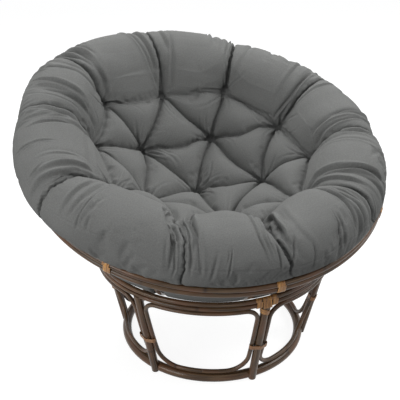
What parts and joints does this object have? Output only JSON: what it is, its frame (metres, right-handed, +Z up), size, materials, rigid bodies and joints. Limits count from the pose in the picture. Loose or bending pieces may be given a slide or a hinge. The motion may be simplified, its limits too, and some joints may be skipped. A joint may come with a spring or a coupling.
{
  "type": "papasan chair",
  "caption": "Round papasan chair: a deep tufted grey cushion in a tilted cane bowl that rests in the ring of a flared, open cane base.",
  "frame": {"origin": "on the floor, under the middle of the chair's outline; the base's axis stands 20 mm to +X and 47 mm to -Y of it", "axes": "+Z up; the chair faces -Y, and the sitter's left hand is +X"},
  "size_m": [1.085, 1.0373, 0.8498],
  "materials": {
    "stained_cane": "satin lacquer over dark brown stain",
    "split_cane": "satin, golden brown split cane, wound in strands",
    "grey_cloth": "matt woven cloth, plain charcoal grey"
  },
  "bodies": {
    "base": {"base_foot_ring": "stained_cane", "base_seat_ring_upper": "stained_cane", "base_seat_ring_lower": "stained_cane", "base_post_1": "stained_cane", "base_window_cane_1": "stained_cane", "base_side_wrap_1": "split_cane", "base_head_wrap_1": "split_cane", "base_post_2": "stained_cane", "base_window_cane_2": "stained_cane", "base_side_wrap_2": "split_cane", "base_post_3": "stained_cane", "base_window_cane_3": "stained_cane", "base_side_wrap_3": "split_cane", "base_head_wrap_3": "split_cane", "base_post_4": "stained_cane", "base_window_cane_4": "stained_cane", "base_side_wrap_4": "split_cane", "base_post_5": "stained_cane", "base_window_cane_5": "stained_cane", "base_side_wrap_5": "split_cane", "base_head_wrap_5": "split_cane", "base_post_6": "stained_cane", "base_window_cane_6": "stained_cane", "base_side_wrap_6": "split_cane"},
    "bowl": {"rim_pole_upper": "stained_cane", "rim_pole_lower": "stained_cane", "bowl_hub_ring": "stained_cane", "bowl_rib_1": "stained_cane", "bowl_rib_2": "stained_cane", "bowl_rib_3": "stained_cane", "bowl_rib_4": "stained_cane", "bowl_rib_5": "stained_cane", "bowl_rib_6": "stained_cane", "bowl_rib_7": "stained_cane", "bowl_rib_8": "stained_cane", "bowl_rib_9": "stained_cane", "bowl_rib_10": "stained_cane", "bowl_rib_11": "stained_cane", "bowl_rib_12": "stained_cane", "rim_wrap_1": "split_cane", "rim_wrap_2": "split_cane", "rim_wrap_3": "split_cane", "rim_wrap_4": "split_cane", "rim_wrap_5": "split_cane", "rim_wrap_6": "split_cane", "rim_wrap_7": "split_cane"},
    "cushion": {"cushion": "grey_cloth"}
  },
  "joints": [
    {"name": "bowl_tilt", "type": "hinge", "parent": "base", "child": "bowl", "pos_m": [0.02, -0.047, 0.7561], "axis": [1, 0, 0], "range_deg": [-41.5, 6.5]},
    {"name": "cushion_lift", "type": "slide", "parent": "bowl", "child": "cushion", "axis": [0, -0.3007, 0.9537], "range_m": [0, 0.45]}
  ]
}
